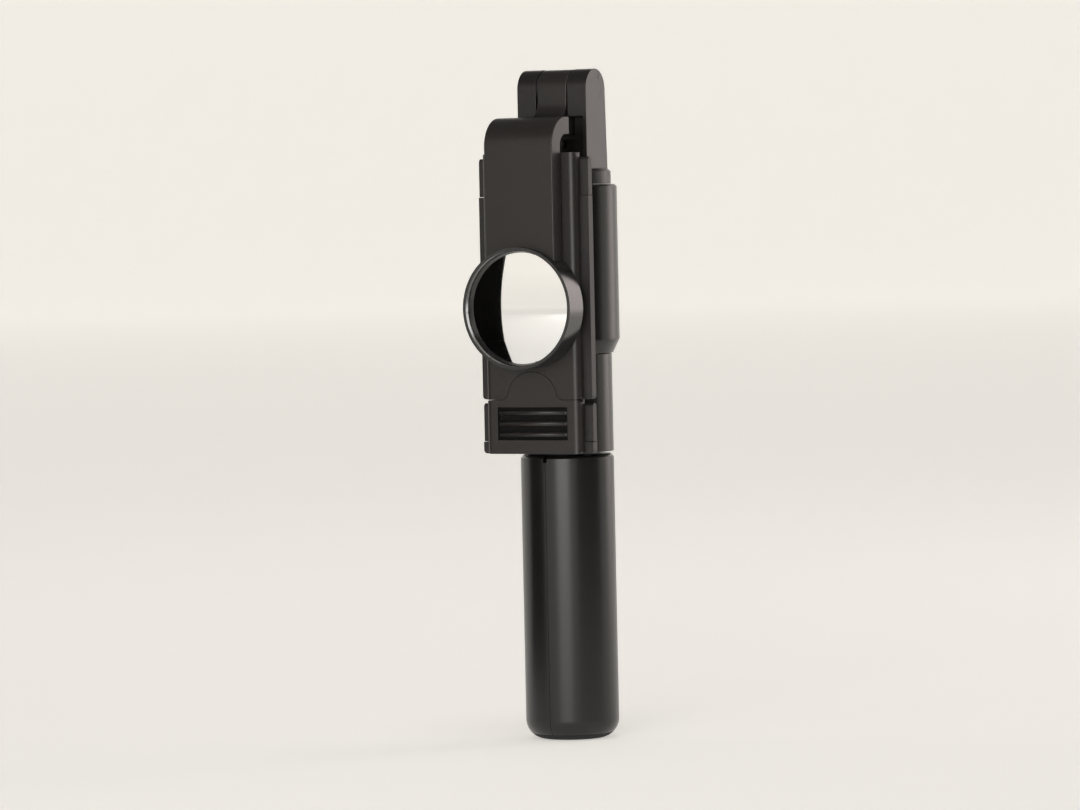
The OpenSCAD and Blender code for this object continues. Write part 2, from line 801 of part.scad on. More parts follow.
// The jaw's round tab with a flare at each foot, drawn larger by a gap. The flare's circle cuts
// a little into the tab's, and the flare ends just before it would run flat.
module tab_outline(grow) {
    foot_x = sqrt(pow(tab_r + tab_flare - flare_bite, 2) - pow(tab_flare, 2));
    end_x = foot_x - flare_end;
    translate([0, jaw_z1]) circle(r = tab_r + grow);
    for (side = [-1, 1])
        translate([0, jaw_z1]) difference() {
            polygon([[0, -flare_end], [side * end_x, -flare_end],
                [side * end_x, tab_flare], [0, flare_end]]);
            translate([side * foot_x, tab_flare]) circle(r = tab_flare - grow);
        }
}

module clamp_cover() {
    color([0.24, 0.22, 0.21]) difference() {
        union() {
            difference() {
                panel_form(cover_z0, clamp_z1);
                block([-inner_w / 2, inner_y0, cover_z0 - 1],
                    [inner_w / 2, plate_y0 + 1, clamp_z1 - clamp_wall]);
            }
            for (p = cover_screws)
                rod_y(cover_boss_r, inner_y0 - eps, plate_y0, p[0], p[1]);
        }
        // notch round the jaw's tab
        along_y(-far, far) tab_outline(stop_gap);
        rod_y(bush_r + seat_fit, -far, far, 0, hub_z);
        for (p = cover_screws)
            rod_y(cover_screw_r + seat_fit, inner_y0 + 0.4, far, p[0], p[1]);
    }
}

// The cut that leaves room for a pair of fingers and lets their rod through the knuckles
module finger_room(rod_z, low_z, high_z) {
    for (side = [-1, 1])
        block([side > 0 ? finger_x0 - gap : -far, plate_y0 - eps, low_z],
            [side > 0 ? far : -finger_x0 + gap, plate_y1 + 1, high_z]);
    rod_x(finger_rod_r + run_fit, -far, far, finger_y, rod_z);
}

module clamp_back() {
    half = clamp_w / 2;
    color([0.2, 0.19, 0.18]) difference() {
        along_y(plate_y0, plate_y1) round_rect(-half, cover_z0, half, clamp_z1, corner_r);
        difference() {
            block([-inner_w / 2, plate_y0 - 1, cover_z0 - 1],
                [inner_w / 2, inner_y1, upper_rod_z - finger_r - 1.2]);
            for (side = [-1, 1])
                rod_y(post_r, plate_y0, plate_y1, side * spring_x, spring_z1 + post_r + 0.3);
            for (p = cover_screws)
                rod_y(cover_boss_r, plate_y0 + 0.05, plate_y1, p[0], p[1]);
        }
        finger_room(upper_rod_z, upper_rod_z - finger_len - stop_gap, clamp_z1 + 1);
        block([-pad_w / 2 - 0.1, plate_y1 - pad_t, pad_z0 - 0.1], [pad_w / 2 + 0.1, far, pad_z1 + 0.1]);
        for (p = cover_screws) {
            rod_y(cover_screw_r + 0.1, -far, far, p[0], p[1]);
            rod_y(cover_screw_r * 2 + 0.1, plate_y1 - 0.7, far, p[0], p[1]);
        }
    }
}

module clamp_screws() {
    color([0.7, 0.7, 0.72])
        for (p = cover_screws) {
            rod_y(cover_screw_r, inner_y0 + 0.5, plate_y1 - 0.6, p[0], p[1]);
            rod_y(cover_screw_r * 2, plate_y1 - 0.65, plate_y1 - 0.1, p[0], p[1]);
        }
}

// The soft pad that the phone's back rests on, with a hole over each screw that it covers
module phone_pad() {
    color([0.08, 0.08, 0.08]) difference() {
        along_y(plate_y1 - pad_t, plate_y1)
            round_rect(-pad_w / 2, pad_z0, pad_w / 2, pad_z1, corner_r);
        for (p = cover_screws)
            rod_y(cover_screw_r * 2 + 0.3, -far, far, p[0], p[1]);
    }
}

// ---------------------------------------------------------------- jaw springs

// Each close-wound spring, as the thin sleeve that its coils fill
module jaw_springs() {
    color([0.75, 0.75, 0.77])
        for (side = [-1, 1])
            translate([side * spring_x, (inner_y0 + inner_y1) / 2, 0])
                ring(spring_r + spring_wire_r, spring_r - spring_wire_r, spring_z0, spring_z1);
}

// ---------------------------------------------------------------- sliding jaw

module jaw_grip() {
    rib_pitch = window_h / rib_count;
    color([0.24, 0.22, 0.21]) {
        difference() {
            union() {
                panel_form(clamp_z0, jaw_z1);
                along_y(panel_y0, plate_y0) tab_outline(0);
            }
            block([-window_w / 2, -far, window_z0],
                [window_w / 2, panel_y0 + window_d, window_z0 + window_h]);
            // room for the slider behind
            block([-inner_w / 2, inner_y0, slider_z0 - 0.1], [inner_w / 2, far, far * 3]);
        }
        for (i = [0:rib_count - 1]) {
            rib_z = window_z0 + rib_pitch * (i + 0.5);
            block([-window_w / 2 + rib_inset, panel_y0 + rib_sink, rib_z - rib_h / 2],
                [window_w / 2 - rib_inset, panel_y0 + window_d + eps, rib_z + rib_h / 2]);
        }
    }
}

module jaw_back() {
    half = clamp_w / 2;
    color([0.2, 0.19, 0.18]) difference() {
        along_y(plate_y0, plate_y1) round_rect(-half, clamp_z0, half, jaw_z1, corner_r);
        block([-rail_x - rail_w - 0.1, plate_y0 - 1, slider_z0 - 0.1],
            [rail_x + rail_w + 0.1, slider_y1, jaw_z1 + 1]);
        finger_room(lower_rod_z, lower_rod_z - finger_len - stop_gap, jaw_z1 + 1);
    }
}

// The U-shaped slider: two rails that run up inside the clamp past the hub
module jaw_slider() {
    color([0.3, 0.3, 0.31]) difference() {
        union() {
            block([-rail_x - rail_w, slider_y0, slider_z0], [rail_x + rail_w, slider_y1 - 0.05, slider_z1]);
            for (side = [-1, 1])
                translate([side * (rail_x + rail_w / 2) - rail_w / 2, slider_y0, slider_z1 - eps])
                    cube([rail_w, slider_y1 - 0.05 - slider_y0, rail_len]);
        }
        rod_x(finger_rod_r + 0.3, -far, far, finger_y, lower_rod_z);
    }
}

// ---------------------------------------------------------------- phone fingers

module fingers(rod_z) {
    color([0.2, 0.19, 0.18])
        for (side = [-1, 1]) {
            x0 = side > 0 ? finger_x0 : -finger_x1;
            difference() {
                union() {
                    block([x0, finger_y0, rod_z - finger_len], [x0 + finger_w, finger_y1, rod_z]);
                    rod_x(finger_r, x0, x0 + finger_w, finger_y, rod_z);
                }
                rod_x(finger_rod_r + seat_fit, -finger_x1 + 0.6, finger_x1 - 0.6, finger_y, rod_z);
            }
        }
}

module finger_rod(rod_z) {
    color([0.7, 0.7, 0.72])
        rod_x(finger_rod_r, -finger_x1 + 0.7, finger_x1 - 0.7, finger_y, rod_z);
}

module upper_fingers() { fingers(upper_rod_z); }
module upper_rod() { finger_rod(upper_rod_z); }
module lower_fingers() { fingers(lower_rod_z); }
module lower_rod() { finger_rod(lower_rod_z); }

// ---------------------------------------------------------------- shutter unit

// The shutter unit's outer form, drawn in by a wall
module shutter_form(inset) {
    intersection() {
        block([-shutter_w / 2 + inset, shutter_y0, shutter_z0 + inset],
            [shutter_w / 2 - inset, far, shutter_z1 - inset]);
        translate([0, 0, shutter_z0 - 1]) cylinder(r = shutter_r - inset, h = shutter_h + 2);
    }
}

module shutter_case() {
    color([0.12, 0.12, 0.12]) difference() {
        shutter_form(0);
        shutter_form(shutter_wall);
        block([-far, -far, shutter_z0 - 1], [far, shutter_y0 + shutter_back_t, shutter_z1 + 1]);
        rod_y(button_r + button_play, shutter_y0 + 2, far, 0, button_z);
        rod_y(lamp_r + seat_fit, shutter_y0 + 2, far, 0, lamp_z);
    }
}

module shutter_back() {
    color([0.12, 0.12, 0.12])
        block([-shutter_w / 2, shutter_y0, shutter_z0],
            [shutter_w / 2, shutter_y0 + shutter_back_t, shutter_z1]);
}

module shutter_board() {
    color([0.1, 0.35, 0.18]) {
        block([-board_half, board_y0, shutter_z0 + 2], [board_half, board_y0 + board_t, shutter_z1 - 2]);
        rod_y(dome_r, board_y0 + board_t - eps, dome_y1, 0, button_z);
    }
}

module shutter_cell() {
    y0 = shutter_y0 + shutter_back_t + 0.1;
    color([0.75, 0.75, 0.77]) rod_y(cell_r, y0, y0 + cell_t, 0, cell_z);
}

module shutter_button() {
    y0 = dome_y1 + button_stroke + button_clear;
    color([0.3, 0.3, 0.3]) {
        rod_y(button_r, shutter_r - shutter_wall, shutter_r + button_proud, 0, button_z);
        rod_y(dome_r, y0, shutter_r - shutter_wall + eps, 0, button_z);
    }
}

module shutter_lamp() {
    color([0.5, 0.6, 0.9]) rod_y(lamp_r, shutter_r - shutter_wall - 0.3, shutter_r, 0, lamp_z);
}

// ---------------------------------------------------------------- nodes

leg_rear();
leg_front_right();
leg_front_left();
foot_rear();
foot_front_right();
foot_front_left();
leg_pins();
leg_hub();
grip_sleeve();
collar_shell();
tube_holder();
hub_screws();
tube_plug();
tube_0();
tube_1();
tube_2();
tube_3();
tube_4();
tube_5();
guide_1();
guide_2();
guide_3();
guide_4();
guide_5();
neck_cap();
head_fork();
head_plug();
head_screw();
tilt_bolt();
tilt_nut();
tilt_caps();
tilt_washers();
arm();
mirror_bezel();
mirror();
hub_axle();
hub_nut();
wave_washer();
friction_disc();
hub_bush();
clamp_cover();
clamp_back();
clamp_screws();
phone_pad();
jaw_springs();
jaw_grip();
jaw_back();
jaw_slider();
upper_fingers();
upper_rod();
lower_fingers();
lower_rod();
shutter_case();
shutter_back();
shutter_board();
shutter_cell();
shutter_button();
shutter_lamp();
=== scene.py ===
# %% [markdown]
# # A folding selfie stick, finished for looks
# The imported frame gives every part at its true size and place. This script keeps those shapes,
# rounds their edges, adds the small moulded details and builds a material for every finish.
# Work goes from the outside in: stage and light first, then finishes, then the pieces.

# %% Load the frame
import json
import math

import bmesh
import bpy
from mathutils import Matrix, Vector


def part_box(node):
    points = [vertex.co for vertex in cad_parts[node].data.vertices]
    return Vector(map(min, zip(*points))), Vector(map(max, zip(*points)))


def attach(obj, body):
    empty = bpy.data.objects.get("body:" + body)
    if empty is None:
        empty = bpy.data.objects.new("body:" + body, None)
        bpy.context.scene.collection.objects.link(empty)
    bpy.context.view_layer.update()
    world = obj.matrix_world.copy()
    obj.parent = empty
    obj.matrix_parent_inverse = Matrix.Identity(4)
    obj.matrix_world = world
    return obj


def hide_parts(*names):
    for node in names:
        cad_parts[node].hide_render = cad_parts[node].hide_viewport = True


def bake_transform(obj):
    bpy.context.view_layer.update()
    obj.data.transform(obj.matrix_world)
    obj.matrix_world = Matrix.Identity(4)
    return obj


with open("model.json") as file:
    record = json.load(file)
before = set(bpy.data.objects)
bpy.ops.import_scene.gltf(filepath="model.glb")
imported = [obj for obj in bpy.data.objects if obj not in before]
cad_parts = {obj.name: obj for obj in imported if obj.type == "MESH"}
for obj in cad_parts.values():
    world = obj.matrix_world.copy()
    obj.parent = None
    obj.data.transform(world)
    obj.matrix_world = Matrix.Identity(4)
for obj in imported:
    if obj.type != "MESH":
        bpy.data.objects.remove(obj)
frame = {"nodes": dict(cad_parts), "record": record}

MM = 0.001
BODIES = frame["record"]["behaviour"]["bodies"]
BODY_OF = {node: body for body, nodes in BODIES.items() for node in nodes}
SLOT_OF = {row["node"]: row["material_slot"] for row in frame["record"]["subparts"]}
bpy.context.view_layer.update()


# %% [markdown]
# ## The stage
# The object stands in a pale bowl: a flat floor that curves up into a wall all the way round. It
# is wide enough to hold the camera when the stick is pulled out to its full length. One lathed
# profile makes it.

# %% Bowl
def lathe(name, profile, steps=96):
    """A surface turned about Z from (radius, height) pairs, in metres."""
    rings = [[(r * math.cos(2 * math.pi * k / steps), r * math.sin(2 * math.pi * k / steps), z)
              for k in range(steps)] for r, z in profile]
    verts = [point for ring in rings for point in ring]
    faces = [(i * steps + k, i * steps + (k + 1) % steps,
              (i + 1) * steps + (k + 1) % steps, (i + 1) * steps + k)
             for i in range(len(profile) - 1) for k in range(steps)]
    mesh = bpy.data.meshes.new(name)
    mesh.from_pydata(verts, [], faces)
    mesh.shade_smooth()
    piece = bpy.data.objects.new(name, mesh)
    bpy.context.scene.collection.objects.link(piece)
    return piece


FLOOR_R = 7.0  # radius of the flat floor, in metres
WALL_R = 2.4  # radius of the curve from floor to wall
WALL_TOP = 5.9
FLOOR_RINGS = (0.001, 0.4, 1.2, 3.0)
curve = [(FLOOR_R + WALL_R * math.sin(math.radians(a)), WALL_R * (1 - math.cos(math.radians(a))))
         for a in range(0, 91, 6)]
flat = [(r, 0) for r in FLOOR_RINGS]
bowl = lathe("floor", flat + curve + [(FLOOR_R + WALL_R, WALL_TOP)])


def stage_material(name, colour, roughness, glow=0.0, specular=0.5):
    material = bpy.data.materials.new(name)
    material.use_nodes = True
    shader = material.node_tree.nodes["Principled BSDF"]
    shader.inputs["Base Color"].default_value = (*colour, 1)
    shader.inputs["Roughness"].default_value = roughness
    shader.inputs["Emission Color"].default_value = (*colour, 1)
    shader.inputs["Emission Strength"].default_value = glow
    shader.inputs["Specular IOR Level"].default_value = specular
    return material


bowl.data.materials.append(stage_material("stage_paper", (0.87, 0.85, 0.81), 0.9, glow=0.5))

# %% [markdown]
# The camera looks from the front right, almost level, through a long lens. Its tilt about the
# line of sight matches the slight lean of the stick in the picture frame.

# %% Camera
AZIMUTH = math.radians(29.3)
ELEVATION = math.radians(1.83)
ROLL = math.radians(-1.2)
DISTANCE = 1.5865
LENS = 190
sideways = Vector((math.cos(AZIMUTH), math.sin(AZIMUTH), 0))
direction = Vector((math.sin(AZIMUTH) * math.cos(ELEVATION),
                    -math.cos(AZIMUTH) * math.cos(ELEVATION), math.sin(ELEVATION)))
stand = Vector((0, 0, 0.0968)) - sideways * 0.0134 + direction * DISTANCE
aim = Vector((0, 0, 0.0929)) - sideways * 0.0073
camera = bpy.data.objects.new("camera", bpy.data.cameras.new("camera"))
bpy.context.scene.collection.objects.link(camera)
camera.data.lens = LENS
camera.data.sensor_width = 36
look = (aim - stand).to_track_quat("-Z", "Y").to_matrix().to_4x4()
camera.matrix_world = Matrix.Translation(stand) @ look @ Matrix.Rotation(ROLL, 4, "Z")
bpy.context.scene.camera = camera

# %% [markdown]
# Shiny dark plastic shows what stands round it. The bowl glows softly and works as one big lamp,
# the sky above it is dim so that faces that look up stay dark, and two dark cards, one left and
# one right of the camera, draw the long dark bands down the round handle. A dark apron on the
# floor carries the left card on down, so that the mirror shows one unbroken dark crescent.


# %% Lights and cards
def around(azimuth, distance, height):
    """A point at an azimuth counted from the front, as the camera's is."""
    a = math.radians(azimuth)
    return Vector((math.sin(a) * distance, -math.cos(a) * distance, height))


def area_light(name, azimuth, distance, height, size, power, aim_z=0.1):
    lamp = bpy.data.lights.new(name, "AREA")
    lamp.shape = "RECTANGLE"
    lamp.size, lamp.size_y = size
    lamp.energy = power
    light = bpy.data.objects.new(name, lamp)
    bpy.context.scene.collection.objects.link(light)
    place = around(azimuth, distance, height)
    turn = (Vector((0, 0, aim_z)) - place).to_track_quat("-Z", "Y").to_matrix().to_4x4()
    light.matrix_world = Matrix.Translation(place) @ turn
    light.visible_camera = False
    return light


def arc(first, last, distance, height):
    """Points round the object between two azimuths."""
    return [around(first + (last - first) * i / CARD_STEPS, distance, height)
            for i in range(CARD_STEPS + 1)]


def dark_sheet(name, one_edge, other_edge):
    """A dark sheet between two arcs, which the camera meets only in reflections."""
    verts = [point for pair in zip(one_edge, other_edge) for point in pair]
    faces = [(2 * i, 2 * i + 2, 2 * i + 3, 2 * i + 1) for i in range(CARD_STEPS)]
    mesh = bpy.data.meshes.new(name)
    mesh.from_pydata(verts, [], faces)
    sheet = bpy.data.objects.new(name, mesh)
    bpy.context.scene.collection.objects.link(sheet)
    sheet.visible_camera = False
    mesh.materials.append(CARD_BLACK)
    return sheet


def dark_card(name, first, last):
    """An upright card bent round the object between two azimuths."""
    card = dark_sheet(name, arc(first, last, CARD_DISTANCE, CARD_FOOT),
                      arc(first, last, CARD_DISTANCE, CARD_TOP))


CARD_STEPS = 12
CARD_DISTANCE = 0.55
CARD_FOOT = 0.002
CARD_TOP = 0.5
APRON_NEAR = 0.2
CARD_BLACK = stage_material("card_black", (0.006, 0.006, 0.006), 0.9, specular=0.0)
dark_card("card_left", -78, -35)
dark_card("card_right", 50, 112)
# on the floor, from near the object out to the left card's foot; its right-hand edge leans
apron = dark_sheet("apron_left", arc(-84, -29, APRON_NEAR, CARD_FOOT),
                   arc(-84, -35, CARD_DISTANCE, CARD_FOOT))
area_light("front_softbox", 16, 2.0, 0.35, (1.1, 0.9), 16)
area_light("top_softbox", 40, 0.5, 1.7, (0.5, 0.5), 3, aim_z=0)
side = area_light("side_softbox", 150, 1.2, 0.4, (0.5, 0.8), 2)
side.data.color = (1.0, 0.86, 0.86)
world = bpy.data.worlds.new("dim_ceiling")
bpy.context.scene.world = world
world.use_nodes = True
sky = world.node_tree.nodes["Background"]
sky.inputs["Color"].default_value = (1.0, 0.985, 0.96, 1)
sky.inputs["Strength"].default_value = 0.12
bpy.context.scene.view_settings.view_transform = "Standard"
print("stage: bowl, 2 cards, 1 apron, 3 softboxes")

# %% [markdown]
# ## Shader groups
# Three effects turn up in more than one finish, so each is a node group with named inputs:
# a moulded grain for bump, edge wear with a painted edge highlight that lightens rounded edges,
# and handling marks that vary the roughness. All three read Object coordinates, so they sit still
# on their pieces.


# %% Group helpers
class Nodes:
    """Adds nodes to a tree and links them with few words."""

    def __init__(self, tree):
        self.tree = tree

    def add(self, kind, inputs=None, **settings):
        node = self.tree.nodes.new(kind)
        for name, value in settings.items():
            setattr(node, name, value)
        for name, value in (inputs or {}).items():
            if isinstance(value, bpy.types.NodeSocket):
                self.tree.links.new(value, node.inputs[name])
            else:
                node.inputs[name].default_value = value
        return node

    def math(self, operation, a, b=0.5):
        node = self.add("ShaderNodeMath", operation=operation)
        for slot, value in zip(node.inputs, (a, b)):
            if isinstance(value, bpy.types.NodeSocket):
                self.tree.links.new(value, slot)
            else:
                slot.default_value = value
        return node.outputs[0]

    def ramp(self, factor, low_at, high_at):
        """Zero below low_at, one above high_at."""
        node = self.add("ShaderNodeMapRange", {"Value": factor, "From Min": low_at,
                                               "From Max": high_at})
        return node.outputs["Result"]

    def mix(self, factor, a, b):
        node = self.add("ShaderNodeMix", data_type="RGBA")
        for slot, value in ((node.inputs[0], factor), (node.inputs[6], a), (node.inputs[7], b)):
            if isinstance(value, bpy.types.NodeSocket):
                self.tree.links.new(value, slot)
            else:
                slot.default_value = value
        return node.outputs[2]


def new_group(name, inputs, outputs):
    group = bpy.data.node_groups.new(name, "ShaderNodeTree")
    for label, kind, value in inputs:
        socket = group.interface.new_socket(label, in_out="INPUT", socket_type=kind)
        socket.default_value = value
    for label, kind in outputs:
        group.interface.new_socket(label, in_out="OUTPUT", socket_type=kind)
    nodes = Nodes(group)
    return group, nodes, nodes.add("NodeGroupInput"), nodes.add("NodeGroupOutput")


# %% Moulded grain: the fine texture that a spark-eroded mould leaves on plastic
FLOAT = "NodeSocketFloat"
COLOUR = "NodeSocketColor"
grain, n, entry, leave = new_group(
    "moulded_grain", [("Grain Size mm", FLOAT, 0.35), ("Waviness", FLOAT, 0.2)],
    [("Height", FLOAT), ("Speckle", FLOAT)])
place = n.add("ShaderNodeTexCoord").outputs["Object"]
scale = n.math("DIVIDE", 1000.0, entry.outputs["Grain Size mm"])
fine = n.add("ShaderNodeTexNoise", {"Vector": place, "Scale": scale, "Detail": 3.0,
                                    "Roughness": 0.6})
pits = n.add("ShaderNodeTexVoronoi", {"Vector": place, "Scale": scale}, feature="F1")
swell = n.add("ShaderNodeTexNoise", {"Vector": place, "Scale": 90.0, "Detail": 1.0})
height = n.math("ADD", fine.outputs[0], n.math("MULTIPLY", pits.outputs["Distance"], 0.6))
height = n.math("ADD", height, n.math("MULTIPLY", swell.outputs[0], entry.outputs["Waviness"]))
n.tree.links.new(height, leave.inputs["Height"])
n.tree.links.new(fine.outputs[0], leave.inputs["Speckle"])

# %% Edge wear and painted edge highlight: a mask that is strong on outer edges and broken up by noise, and lightens them
wear_and_highlight, n, entry, leave = new_group(
    "edge_wear_and_highlight", [("Base", COLOUR, (0.03, 0.03, 0.03, 1)), ("Worn Highlight", COLOUR, (0.2, 0.19, 0.18, 1)),
                  ("Amount", FLOAT, 0.4)],
    [("Color", COLOUR), ("Mask", FLOAT)])
place = n.add("ShaderNodeTexCoord").outputs["Object"]
rim = n.add("ShaderNodeAttribute", attribute_type="GEOMETRY", attribute_name="edge").outputs["Fac"]
broken = n.add("ShaderNodeTexNoise", {"Vector": place, "Scale": 260.0, "Detail": 4.0})
broken = n.ramp(broken.outputs[0], 0.35, 0.7)
# the rounded edges are lightened towards the worn colour: partly wear, partly a painted edge
# highlight
mask = n.math("MULTIPLY", n.math("MULTIPLY", rim, broken), entry.outputs["Amount"])
n.tree.links.new(n.mix(mask, entry.outputs["Base"], entry.outputs["Worn Highlight"]), leave.inputs["Color"])
n.tree.links.new(mask, leave.inputs["Mask"])

# %% Handling marks: faint smears and dust that change the roughness and the colour a little
marks, n, entry, leave = new_group(
    "handling_marks", [("Base", COLOUR, (0.03, 0.03, 0.03, 1)), ("Roughness", FLOAT, 0.4),
                       ("Smear", FLOAT, 0.1), ("Dust", FLOAT, 0.05)],
    [("Color", COLOUR), ("Roughness", FLOAT)])
place = n.add("ShaderNodeTexCoord").outputs["Object"]
smear = n.add("ShaderNodeTexNoise", {"Vector": place, "Scale": 45.0, "Detail": 5.0,
                                     "Distortion": 1.5}).outputs[0]
specks = n.add("ShaderNodeTexNoise", {"Vector": place, "Scale": 1400.0, "Detail": 2.0}).outputs[0]
rough = n.math("ADD", entry.outputs["Roughness"],
               n.math("MULTIPLY", n.math("SUBTRACT", smear, 0.5), entry.outputs["Smear"]))
dusty = n.math("MULTIPLY", n.ramp(specks, 0.62, 0.8), entry.outputs["Dust"])
n.tree.links.new(n.mix(dusty, entry.outputs["Base"], (0.45, 0.43, 0.4, 1)), leave.inputs["Color"])
n.tree.links.new(n.math("ADD", rough, dusty), leave.inputs["Roughness"])
print("groups:", [g.name for g in (grain, wear_and_highlight, marks)])

# %% [markdown]
# ## Finishes
# Most of the stick is one family: dark injection-moulded plastic. A single function builds it
# from its colour, gloss and grain, and each finish calls it with its own values; the rubber uses
# it too. Metal, mirror and the small parts have their own short functions.


# %% Material helpers
def group_node(nodes, group, inputs):
    node = nodes.add("ShaderNodeGroup")
    node.node_tree = group
    for name, value in inputs.items():
        if isinstance(value, bpy.types.NodeSocket):
            nodes.tree.links.new(value, node.inputs[name])
        else:
            node.inputs[name].default_value = value
    return node


def start_material(name):
    material = bpy.data.materials.new(name)
    material.use_nodes = True
    nodes = Nodes(material.node_tree)
    return material, nodes, material.node_tree.nodes["Principled BSDF"]


def rgba(colour):
    return (*colour, 1)


def moulded_plastic(name, colour, worn_highlight, roughness, grain_mm=0.35, bump=0.06, wear_highlight_amount=0.35,
                    smear=0.12, dust=0.04, specular=0.5, coat=0.0):
    material, nodes, shader = start_material(name)
    # rounded edges lightened: partly wear, partly a painted edge highlight
    wear_highlight_node = group_node(nodes, wear_and_highlight, {"Base": rgba(colour), "Worn Highlight": rgba(worn_highlight),
                                         "Amount": wear_highlight_amount})
    mark_node = group_node(nodes, marks, {"Base": wear_highlight_node.outputs["Color"],
                                          "Roughness": roughness, "Smear": smear, "Dust": dust})
    grain_node = group_node(nodes, grain, {"Grain Size mm": grain_mm, "Waviness": 0.15})
    bump_node = nodes.add("ShaderNodeBump", {"Strength": bump, "Distance": 0.0001,
                                             "Height": grain_node.outputs["Height"]})
    links = nodes.tree.links
    links.new(mark_node.outputs["Color"], shader.inputs["Base Color"])
    links.new(mark_node.outputs["Roughness"], shader.inputs["Roughness"])
    links.new(bump_node.outputs["Normal"], shader.inputs["Normal"])
    shader.inputs["Specular IOR Level"].default_value = specular
    shader.inputs["Coat Weight"].default_value = coat
    shader.inputs["Coat Roughness"].default_value = 0.2
    return material


def metal(name, colour, roughness, brush_along=None, bump=0.05, smear=0.1):
    """Bare metal. brush_along stretches the scratches along one axis, 0 to 2."""
    material, nodes, shader = start_material(name)
    place = nodes.add("ShaderNodeTexCoord").outputs["Object"]
    stretch = [900.0, 900.0, 900.0]
    if brush_along is not None:
        stretch[brush_along] = 25.0
    mapping = nodes.add("ShaderNodeMapping", {"Vector": place, "Scale": stretch})
    brush = nodes.add("ShaderNodeTexNoise", {"Vector": mapping.outputs[0], "Scale": 3.0,
                                             "Detail": 3.0}).outputs[0]
    # rounded edges lightened: partly wear, partly a painted edge highlight
    wear_highlight_node = group_node(nodes, wear_and_highlight, {"Base": rgba(colour), "Amount": 0.3,
                                         "Worn Highlight": rgba([min(1, c * 1.25) for c in colour])})
    mark_node = group_node(nodes, marks, {"Base": wear_highlight_node.outputs["Color"],
                                          "Roughness": roughness, "Smear": smear, "Dust": 0.02})
    varied = nodes.math("ADD", mark_node.outputs["Roughness"],
                        nodes.math("MULTIPLY", nodes.math("SUBTRACT", brush, 0.5), 0.25))
    bump_node = nodes.add("ShaderNodeBump", {"Strength": bump, "Distance": 0.00005,
                                             "Height": brush})
    links = nodes.tree.links
    links.new(mark_node.outputs["Color"], shader.inputs["Base Color"])
    links.new(varied, shader.inputs["Roughness"])
    links.new(bump_node.outputs["Normal"], shader.inputs["Normal"])
    shader.inputs["Metallic"].default_value = 1.0
    return material


# %% The finishes themselves
HANDLE = moulded_plastic("handle_plastic", (0.0095, 0.0085, 0.0082), (0.05, 0.046, 0.044), 0.25,
                         grain_mm=0.3, bump=0.03, smear=0.04, dust=0.01)
HEAD = moulded_plastic("head_plastic", (0.015, 0.012, 0.012), (0.08, 0.07, 0.07), 0.33,
                       grain_mm=0.3, bump=0.05, smear=0.04, dust=0.015)
CHARCOAL = moulded_plastic("clamp_plastic", (0.019, 0.0155, 0.0145), (0.09, 0.08, 0.075), 0.4,
                           grain_mm=0.4, bump=0.08, smear=0.04, dust=0.015)
# the clamp plastic a little darker: painted shade for the back parts in the groove behind the
# cover
CLAMP_BACK_SHADED = moulded_plastic("clamp_back_shaded_plastic", (0.017, 0.014, 0.0135), (0.09, 0.08, 0.075),
                             0.45, grain_mm=0.4, bump=0.06, smear=0.04, dust=0.015)
GLOSSY = moulded_plastic("bezel_plastic", (0.01, 0.0095, 0.0095), (0.06, 0.06, 0.06), 0.2,
                         grain_mm=0.8, bump=0.01, wear_highlight_amount=0.25, coat=0.4, smear=0.04)
RUBBER = moulded_plastic("black_rubber", (0.014, 0.014, 0.014), (0.04, 0.04, 0.04), 0.75,
                         grain_mm=0.5, bump=0.25, smear=0.2, dust=0.12, specular=0.3)
NYLON = moulded_plastic("guide_nylon", (0.72, 0.70, 0.64), (0.82, 0.8, 0.76), 0.5,
                        grain_mm=0.5, bump=0.05)
INNER = moulded_plastic("inner_plastic", (0.028, 0.028, 0.030), (0.1, 0.1, 0.1), 0.55,
                        grain_mm=0.6, bump=0.1)
# near-black matte finish: painted shade in the recess of the thumb window
WINDOW_SHADE = moulded_plastic("window_painted_shade", (0.004, 0.0035, 0.0035), (0.02, 0.02, 0.02), 0.7,
                       specular=0.15)
STEEL_TUBE = metal("tube_metal", (0.62, 0.62, 0.63), 0.24, brush_along=2)
FASTENER = metal("fastener_steel", (0.55, 0.55, 0.56), 0.32, bump=0.1)
SPRING_WIRE = metal("spring_wire", (0.5, 0.5, 0.52), 0.3, bump=0.06)
BLACKENED = metal("blackened_steel", (0.035, 0.034, 0.034), 0.42, bump=0.1)
BRASS = metal("brass", (0.72, 0.52, 0.22), 0.3)


def mirror_finish():
    """Silvered glass: a near-white metal with faint smears and a few dust specks."""
    material, nodes, shader = start_material("mirror_glass")
    mark_node = group_node(nodes, marks, {"Base": (0.93, 0.93, 0.925, 1), "Roughness": 0.03,
                                          "Smear": 0.05, "Dust": 0.05})
    nodes.tree.links.new(mark_node.outputs["Color"], shader.inputs["Base Color"])
    nodes.tree.links.new(mark_node.outputs["Roughness"], shader.inputs["Roughness"])
    shader.inputs["Metallic"].default_value = 1.0
    return material


